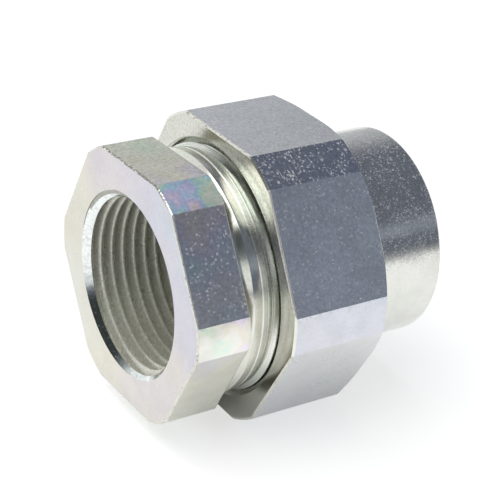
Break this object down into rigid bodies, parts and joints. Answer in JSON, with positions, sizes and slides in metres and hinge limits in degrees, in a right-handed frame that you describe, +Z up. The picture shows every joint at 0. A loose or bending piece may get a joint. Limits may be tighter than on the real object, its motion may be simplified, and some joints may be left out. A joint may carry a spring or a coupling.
{
  "type": "conduit union",
  "caption": "Straight conduit union: hexagonal body and round sleeve with female conduit threads, drawn together face to face by a hexagonal union nut.",
  "frame": {"origin": "on the common axis, halfway between the two ends with the nut tight", "axes": "+X along the conduit from the hexagonal body to the sleeve, +Z up from the flat that the nut lies on"},
  "size_m": [0.0526, 0.055, 0.0508],
  "materials": {
    "zinc_plated_body": "bright zinc plating with a pale iridescent passivation film",
    "zinc_plated_sleeve": "bright zinc plating, finely speckled",
    "zinc_plated_nut": "bright zinc plating, finely speckled"
  },
  "bodies": {
    "body": {"hex_body": "zinc_plated_body"},
    "sleeve": {"sleeve": "zinc_plated_sleeve"},
    "nut": {"union_nut": "zinc_plated_nut"}
  },
  "joints": [
    {"name": "sleeve_draw", "type": "slide", "parent": "body", "child": "sleeve", "axis": [1, 0, 0], "range_m": [0, 0.00873]},
    {"name": "nut_turn", "type": "hinge", "parent": "sleeve", "child": "nut", "pos_m": [0, 0, 0], "axis": [1, 0, 0], "range_deg": [0, 1980]}
  ],
  "couplings": [
    {"joint": "sleeve_draw", "follows": "nut_turn", "m_per_rad": 0.00025266}
  ]
}
